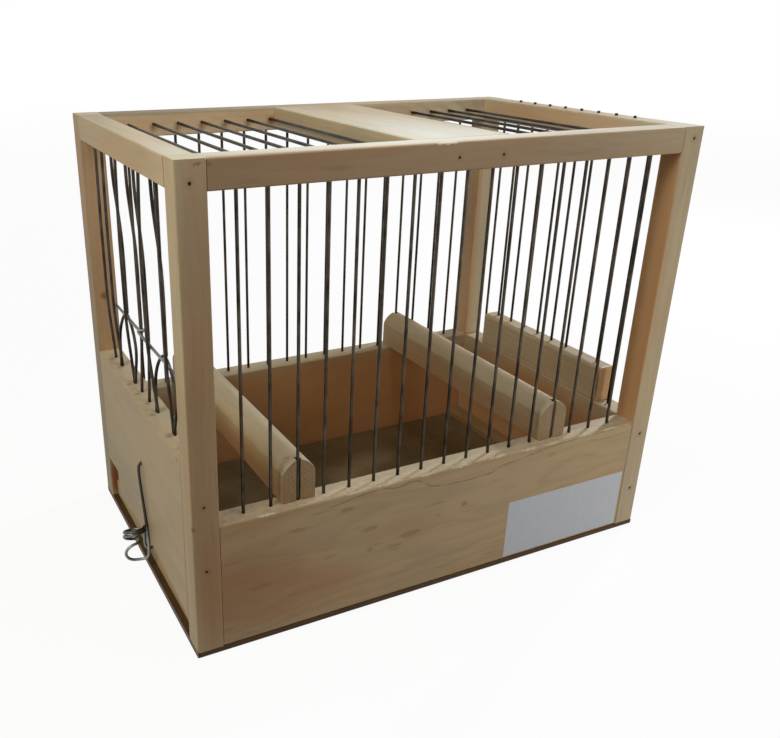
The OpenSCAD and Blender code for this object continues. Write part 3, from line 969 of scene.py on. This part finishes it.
@dataclass
class Carcass:
    """Posts, panels, rails, the board across the roof, the floor board and the nails."""

    seam: float = 0.03
    # The roof wires' pitch, and the places of the left wires along the left panel
    pitch: float = 12.06
    feet: tuple[float, ...] = (-52.45, -39.9, -18.3, -5.8, 5.8, 18.3, 39.9, 52.45)
    # The nails in the front and back faces, as X and Z
    left_nails: Spots = ((-114.8, 194.6), (-114.8, 71.7), (-114.8, 42.1))
    right_nails: Spots = ((114.8, 197.4), (114.8, 54.2), (114.8, 23.0))
    board_nails: Spots = ((-8.3, 196.6), (12.3, 196.6))
    knot: str = "#5E3A1F"
    # Grey-brown: greyed wood, and painted shade on the left faces towards the back
    greyed: str = "#7E735A"
    # Orange-brown: wood tone, and painted bounce light on the back left post's inner face
    orange: str = "#B06C36"
    # Painted bounce light: a warm orange laid on the inner faces that sit in the cage's shade
    glow: str = "#DC9C5E"
    halo: str = "#8A5A30"
    sawn_top: str = "#CFC09C"
    rust: str = "#7A4519"
    # Painted shade: a darker brown laid on the front faces
    painted_front_shade: str = "#8C5A32"
    # Painted light: a pale cream laid on the tops towards the front
    painted_top_light: str = "#EDEFE4"
    # Cream: worn chips on the arrises, and painted light on the sill's top
    worn_cream_and_painted_light: str = "#EFDCB2"
    # Painted shade: a dark grey-brown laid on tops towards the back
    painted_back_shade: str = "#75664C"
    # Painted shade: a warm brown laid on faces turned from the light
    warm_painted_shade: str = "#A0653A"
    resin: str = "#A0541C"
    # Painted light: a pale grey laid low on the front right post
    painted_lower_light: str = "#DCD0C0"
    # Dark drilling nicks by the left wires' feet, with a painted shadow of each wire
    nick_and_painted_shadow: str = "#6E6346"
    scuffed: str = "#D8CDA8"

    def build(self) -> None:
        """Makes and dresses every fixed timber, the floor board and the nails."""
        for board in self._posts() + self._panels() + self._rails():
            board.build()
        worn = {"-y-z": 1.1, "+y-z": 1.1}
        floor = Timber("base_board", Grain.ALONG_X, ease=0.3, rim=0.2, worn=worn).shape()
        board = HardboardFinish("floor_board_hardboard", "#6B5236", "#4A3722").material()
        finish_piece(floor, Body.FRAME, board, "hardboard", "base_board")
        nails = WireFinish("dull_nail_steel", "#4A3A2E", "#33281F", 0.5).material()
        for node in ("frame_nails", "base_nails"):
            dress_node(node, nails)

    def _nail_rust(self, nails: Spots) -> tuple[Stain, ...]:
        """Warm rings in the wood round the nails, at the front and the back."""
        return tuple(
            Stain((x, y, z), (2.8, 3.0, 2.8), self.halo, 0.25, 0.8)
            for y in (-FACE, FACE)
            for x, z in nails
        )

    def _posts(self) -> list[Timber]:
        """Describes the four corner posts.

        Returns:
            The posts, not built yet.
        """
        front_left = (
            Stain((-111.6, -FACE, 200.7), (1.2, 3.0, 0.9), self.rust, 0.7),
            Stain((-112.9, -FACE, 200.2), (0.9, 3.0, 0.8), self.rust, 0.5),
            Stain((-119.6, -75.3, 63.2), (1.1, 1.5, 1.3), self.knot, 0.5),
            Stain((-114.0, -FACE, 30.0), (9.0, 3.0, 40.0), self.orange, 0.3, 0.9),
            # Painted shade: the post's front face warmer and darker
            Stain((-112.0, -77.5, 105.0), (14.0, 4.0, 170.0), self.warm_painted_shade, 0.45, 0.4, False),
        )
        back_left = (
            Stain((-115.2, 64.1, 116.1), (2.4, 4.0, 2.6), self.knot, 0.85),
            Stain((-113.0, 63.6, 14.0), (9.0, 3.0, 17.0), self.resin, 0.85, 0.4),
            # Painted shade: the lower left face darker
            Stain((-121.5, 72.0, 60.0), (4.0, 16.0, 130.0), self.greyed, 0.6, 0.6),
            # Painted shade: the upper left face warmer and darker
            Stain((-121.5, 70.0, 155.0), (4.0, 16.0, 90.0), self.warm_painted_shade, 0.42, 0.6, False),
            # Painted bounce light: orange on the post's inner face, seen through the tray's notch
            Stain((-112.0, 63.6, 110.0), (10.0, 3.0, 130.0), self.orange, 0.42, 0.4, False),
        )
        front_right = (
            # Painted light: the post's front face paler towards the bottom
            Stain((116.0, -77.5, 10.0), (22.0, 4.0, 80.0), self.painted_lower_light, 0.4, 0.7),
            # Painted bounce light on the post's inner face
            Stain((107.0, -69.8, 125.0), (4.0, 12.0, 120.0), self.glow, 0.75, 0.4, False),
        )
        back_right = (
            # Painted bounce light on the post's inner face
            Stain((108.0, 64.0, 120.0), (5.0, 14.0, 110.0), self.glow, 0.55, 0.5, False),
        )
        rows = (
            ("front_left_post", (28.0, -34.0), front_left, self.left_nails),
            ("front_right_post", (-30.0, 26.0), front_right, self.right_nails),
            ("back_left_post", (40.0, 22.0), back_left, self.left_nails),
            ("back_right_post", (-22.0, -44.0), back_right, self.right_nails),
        )
        posts = []
        for node, heart, stains, nails in rows:
            marks = stains + self._nail_rust(nails)
            look = {"heart": heart, "end": self.sawn_top, "stains": marks}
            posts.append(Timber(node, Grain.ALONG_Z, rim=0.12, look=look, nails=nails))
        return posts

    def _panels(self) -> list[Timber]:
        """Describes the four low walls.

        Returns:
            The panels, not built yet.
        """
        # Marks on the front face: X, Z, and then a stain's own reach, colour and strength
        marks = (
            (9.8, 41.1, (2.4, 5.0, 1.8), self.knot, 0.42),
            (-74.5, 50.3, (5.5, 5.0, 1.5), self.halo, 0.35),
            (-40.1, 41.4, (6.0, 5.0, 1.8), self.halo, 0.4),
            (-19.2, 33.0, (8.0, 5.0, 2.0), self.halo, 0.42),
            (-51.4, 54.1, (5.0, 5.0, 1.5), self.halo, 0.4),
            (-92.0, 27.7, (8.0, 5.0, 1.5), self.halo, 0.3),
            (-39.7, 30.6, (1.8, 4.0, 1.5), self.knot, 0.3),
            (-4.3, 38.6, (1.6, 4.0, 1.3), self.knot, 0.28),
            (-26.9, 29.0, (5.0, 4.0, 1.2), self.halo, 0.3),
            (-59.5, 32.7, (5.0, 4.0, 1.2), self.halo, 0.25),
            (58.5, 55.1, (4.0, 4.0, 1.2), self.halo, 0.25),
            (-100.0, 28.0, (48.0, 8.0, 30.0), self.orange, 0.38, 0.9),
            (-60.0, 20.0, (30.0, 6.0, 9.0), self.orange, 0.3, 0.9),
        )
        # Places along the sill's front arris of worn chips with a painted highlight
        chafed_and_lit = (-88.0, -47.0, -33.0, -12.0, 6.0, 27.0, 44.0, 58.0, 79.0, 94.0)
        front = (
            *(Stain((x, -FACE, z), *rest) for x, z, *rest in marks),
            # Painted shade: the front face darker towards its left end
            Stain((-115.0, -77.5, 30.0), (85.0, 4.0, 60.0), self.painted_front_shade, 0.32, 0.6, False),
            # Painted light: the sill's top paler
            Stain((0.0, -68.0, 65.0), (260.0, 14.0, 4.6), self.worn_cream_and_painted_light, 0.6, 0.3),
            # Worn chips with a painted highlight along the sill's front arris
            *(Stain((x, -75.6, 61.4), (7.0, 1.2, 1.0), self.worn_cream_and_painted_light, 0.8, 0.5) for x in chafed_and_lit),
        )
        line = ResinLine(
            (-72.0, -55.4, -34.2, -27.3, -20.3, -13.1, -2.6, 16.9, 29.0, 39.9, 63.9, 108.5),
            (55.6, 57.8, 59.7, 58.7, 59.7, 57.2, 53.9, 53.3, 56.2, 57.2, 60.0, 60.8),
        )
        left = (
            *(
                # Drilling nicks with a painted shadow beside each foot
                Stain((-116.2 - n % 3 * 0.6, y - 1.5, 87.3), (1.8, 2.4, 1.4), self.nick_and_painted_shadow, 0.55, 0.8)
                for n, y in enumerate(self.feet)
            ),
            *(
                Stain((-117.6 - n % 2, y + 1.6, 87.3), (1.5, 3.4, 1.2), self.scuffed, 0.4, 0.8)
                for n, y in enumerate(self.feet)
            ),
            Stain((-119.5, -60.2, 86.3), (1.4, 1.7, 0.9), self.nick_and_painted_shadow, 0.6),
            Stain((-120.0, 10.0, 40.0), (3.0, 34.0, 10.0), self.halo, 0.14, 0.9),
            # Painted shade: the lower back of the left face darker
            Stain((-121.0, 40.0, 22.0), (4.0, 66.0, 34.0), self.greyed, 0.3, 0.8),
        )
        back = (
            # Painted bounce light on the panel's inner face
            Stain((10.0, 64.5, 30.0), (190.0, 8.0, 36.0), self.glow, 0.8, 0.3, False),
            # Painted shade: the panel's top edge darker
            Stain((0.0, 70.0, 66.5), (260.0, 12.0, 3.0), self.painted_back_shade, 0.6, 0.4),
        )
        # Painted bounce light on the panel's inner face
        right = (Stain((109.0, 0.0, 30.0), (8.0, 110.0, 36.0), self.glow, 0.7, 0.4, False),)
        front_look = {
            "heart": (-70.0, 10.0),
            "pale": "#D2B68C",
            "greyed": "#A89878",
            "ring_strength": 0.26,
            "streak_strength": 0.36,
            "stains": front,
            "line": line,
        }
        left_look = {"heart": (75.0, 20.0), "ring_strength": 0.06, "flush_strength": 0.12}
        left_look["stains"] = left
        between_holes = (-47.0, -29.0, -11.0, 0.0, 11.0, 29.0, 47.0)
        back_look = {"heart": (60.0, -15.0), "stains": back}
        right_look = {"heart": (-55.0, 5.0), "stains": right}
        rows = (
            ("front_panel", Grain.ALONG_X, front_look, {"-y+z": 1.1}, {"-y": 0.15}, ()),
            ("back_panel", Grain.ALONG_X, back_look, {"-y+z": 1.0}, {}, ()),
            ("left_panel", Grain.ALONG_Y, left_look, {"-x+z": 0.35}, {}, between_holes),
            ("right_panel", Grain.ALONG_Y, right_look, {}, {}, ()),
        )
        return [
            Timber(node, grain, worn=worn, setback=setback, seam=self.seam, look=look, cuts=cuts)
            for node, grain, look, worn, setback, cuts in rows
        ]

    def _rails(self) -> list[Timber]:
        """Describes the four top rails and the board across the middle of the roof.

        Returns:
            The rails and the board, not built yet.
        """
        front = (
            Stain((-107.6, -FACE, 200.4), (1.2, 3.0, 1.0), self.rust, 0.7),
            Stain((-60.0, -FACE, 196.0), (9.0, 4.0, 2.0), self.greyed, 0.4, 0.9),
            # Painted shade: the rail's front face darker brown
            Stain((-110.0, -77.5, 195.0), (310.0, 4.0, 30.0), self.painted_front_shade, 0.62, 0.4, False),
            # Painted light: the rail's top paler towards the front
            Stain((-20.0, -66.0, 206.5), (240.0, 14.0, 5.5), self.painted_top_light, 0.36, 0.3, False),
            Stain((-14.0, -FACE, 202.5), (7.0, 1.4, 1.1), self.worn_cream_and_painted_light, 0.7, 0.5),
            *self._nail_rust(self.board_nails),
        )
        back = (
            Stain((-23.5, 64.5, 197.0), (4.0, 4.0, 2.6), self.orange, 0.85, 0.8),
            # Painted bounce light on the rail's inner face
            Stain((-60.0, 64.5, 194.0), (120.0, 3.0, 12.0), self.glow, 0.25, 0.6, False),
            # Painted shade: the rail's top darker, most at the left
            Stain((-120.0, 72.0, 205.5), (200.0, 24.0, 5.5), self.painted_back_shade, 0.9, 0.5, False),
            *(
                Stain((side * self.pitch * n, 64.0, 195.4), (3.6, 2.5, 3.0), self.halo, 0.55, 0.8)
                for side in (-1, 1)
                for n in range(2, 9)
            ),
        )
        left = (
            # Painted shade: the rail's top darker towards the back
            Stain((-115.0, 75.0, 205.5), (14.0, 110.0, 5.0), self.painted_back_shade, 0.6, 0.7, False),
            # Painted light: the rail's top paler towards the front
            Stain((-115.0, -70.0, 205.5), (14.0, 90.0, 5.5), self.painted_top_light, 0.35, 0.7, False),
        )
        # Painted bounce light on the rail's inner face
        right = (Stain((108.0, 0.0, 196.0), (3.0, 110.0, 9.0), self.glow, 0.4, 0.5, False),)
        centre = (
            # Painted light: the board's top paler towards the front
            Stain((0.0, -66.0, 205.5), (40.0, 120.0, 5.5), self.painted_top_light, 0.42, 0.6, False),
            # Painted shade: the board's top darker towards the back
            Stain((0.0, 75.0, 205.5), (40.0, 60.0, 5.0), self.painted_back_shade, 0.3, 0.8, False),
        )
        rows = (
            ("front_top_rail", Grain.ALONG_X, (22.0, 30.0), front),
            ("back_top_rail", Grain.ALONG_X, (-26.0, 24.0), back),
            ("left_top_rail", Grain.ALONG_Y, (24.0, -30.0), left),
            ("right_top_rail", Grain.ALONG_Y, (-20.0, -36.0), right),
            ("centre_board", Grain.ALONG_Y, (8.0, -60.0), centre),
        )
        return [
            Timber(
                node,
                grain,
                rim=0.1,
                seam=self.seam,
                look={"heart": heart, "stains": stains},
                nails=self.board_nails,
            )
            for node, grain, heart, stains in rows
        ]


@dataclass
class Grille:
    """The straight wires of the front, back, roof and right side."""

    upright: tuple[str, ...] = ("front_wires", "back_wires", "right_wires")
    level: tuple[str, ...] = ("top_wires_left", "top_wires_right")

    def build(self) -> None:
        """Dresses the wires."""
        standing = WireFinish("dull_drawn_steel").material()
        lying = WireFinish("roof_drawn_steel", die=(3.0, 0.15, 3.0)).material()
        for nodes, steel in ((self.upright, standing), (self.level, lying)):
            for node in nodes:
                dress_node(node, steel)


@dataclass
class WovenWall:
    """The hand-set left wall: bent wires, arches over the head holes and the cross rod."""

    bent: tuple[str, ...] = ("left_wires", "left_short_wires", "head_hole_arches")

    def build(self) -> None:
        """Makes the bent wires round and dresses them."""
        steel = WireFinish("hand_bent_steel", die=(1.5, 1.5, 1.5))
        zinc = WireFinish("galvanised_rod", "#8D8B83", "#5F5C53", 0.45, (1.5, 0.15, 1.5))
        dark, light = steel.material(), zinc.material()
        for node in self.bent:
            rounded_wire(node, Body.FRAME, dark, "steel_wire")
        rounded_wire("cross_rod", Body.FRAME, light, "zinc_wire")


@dataclass
class Door:
    """The lift-up door: a bar with eight wires."""

    chip: str = "#F4E3BC"
    bruise: str = "#6B4524"

    def build(self) -> None:
        """Shapes the bar and dresses the door."""
        low, high = (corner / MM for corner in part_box("door_bar"))
        chips = (
            Stain((low.x + 4.0, low.y, high.z), (5.0, 2.0, 1.5), self.chip, 0.8, 0.5),
            Stain((high.x, low.y, low.z + 9.0), (1.8, 2.0, 8.0), self.chip, 0.8, 0.5),
            Stain((low.x + 3.0, low.y, low.z + 4.0), (1.6, 2.0, 2.6), self.chip, 0.6, 0.5),
            Stain((low.x, low.y, low.z + 10.0), (1.0, 2.0, 12.0), self.bruise, 0.7, 0.6),
        )
        look = {"heart": (-16.0, -20.0), "end": "#CE9A54", "stains": chips}
        Timber("door_bar", Grain.ALONG_Y, Body.DOOR, ease=0.5, look=look).build()
        dress_node("door_wires", WireFinish("door_drawn_steel").material())


@dataclass
class Perches:
    """The two perches, each a stick with rounded top edges and sawn ends."""

    warm: str = "#B5703A"

    def build(self) -> None:
        """Shapes and dresses the perches."""
        rows = (
            ("left_perch", Body.LEFT_PERCH, (14.0, -26.0)),
            ("right_perch", Body.RIGHT_PERCH, (-18.0, 24.0)),
        )
        for node, body, heart in rows:
            low, high = (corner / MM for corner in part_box(node))
            tint = Stain((low.x, 0.0, low.z + 4.0), (4.0, 110.0, 10.0), self.warm, 0.4, 0.7)
            look = {"heart": heart, "end": "#8F6B45", "stains": (tint,)}
            Timber(node, Grain.ALONG_Y, body, ease=0.5, look=look).build()


@dataclass
class Tray:
    """The pull-out floor: hardboard between two laths, with its wire pull."""

    laths: tuple[tuple[str, tuple[float, float], str], ...] = (
        # Painted light: the front lath paler than the other pine, against the shade in the slot
        ("tray_front_lath", (20.0, 18.0), "#E3C48C"),
        ("tray_back_lath", (-22.0, 20.0), "#9A7B50"),
    )

    def build(self) -> None:
        """Shapes the laths and the pull, and dresses the tray."""
        dress_node("tray_board", HardboardFinish("tray_hardboard").material())
        for node, heart, pale in self.laths:
            look = {"heart": heart, "pale": pale, "sheen": 0.2}
            Timber(node, Grain.ALONG_Y, Body.TRAY, ease=0.4, rim=0.2, look=look).build()
        steel = WireFinish(
            "pull_bent_steel",
            "#7F8583",
            "#443D34",
            rough=0.3,
            die=(1.5, 1.5, 1.5),
            patches=(0.4, 0.65, 0.5),
            # Painted shade: the pull's upper tail dull and dark
            rubbed_and_shaded=(20.0, 27.0),
        )
        rounded_wire("tray_pull", Body.TRAY, steel.material(), "steel_wire")


@dataclass
class BlankLabel:
    """The bare paper label on the front panel, with nothing printed on it."""

    left: float = 36.0
    right: float = 107.5
    low: float = 4.0
    high: float = 34.5
    face: float = -75.35
    thick: float = 0.07

    def build(self) -> None:
        """Cuts the label and sticks it on."""
        bpy.ops.object.select_all(action="DESELECT")
        bpy.ops.mesh.primitive_grid_add(x_subdivisions=36, y_subdivisions=16, size=1.0)
        label = bpy.context.object
        label.name = "blank_label"
        label.scale = ((self.right - self.left) * MM, (self.high - self.low) * MM, 1.0)
        label.rotation_euler = (math.pi / 2, 0.0, 0.0)
        label.location = (
            (self.left + self.right) / 2 * MM,
            self.face * MM,
            (self.low + self.high) / 2 * MM,
        )
        place_in_mesh(label)
        apply_modifier(label, "SOLIDIFY", thickness=self.thick * MM, offset=1.0)
        smooth_by_angle(label)
        finish_piece(label, Body.FRAME, PaperFinish("coated_paper").material(), None)


def main() -> None:
    """Builds the studio and every sub-assembly."""
    logging.basicConfig(level=logging.INFO, format="%(message)s")
    bpy.context.scene.view_settings.view_transform = "Standard"
    parts = (Studio(), Carcass(), Grille(), WovenWall(), Door(), Perches(), Tray(), BlankLabel())
    for part in parts:
        part.build()


if __name__ == "__main__":
    main()
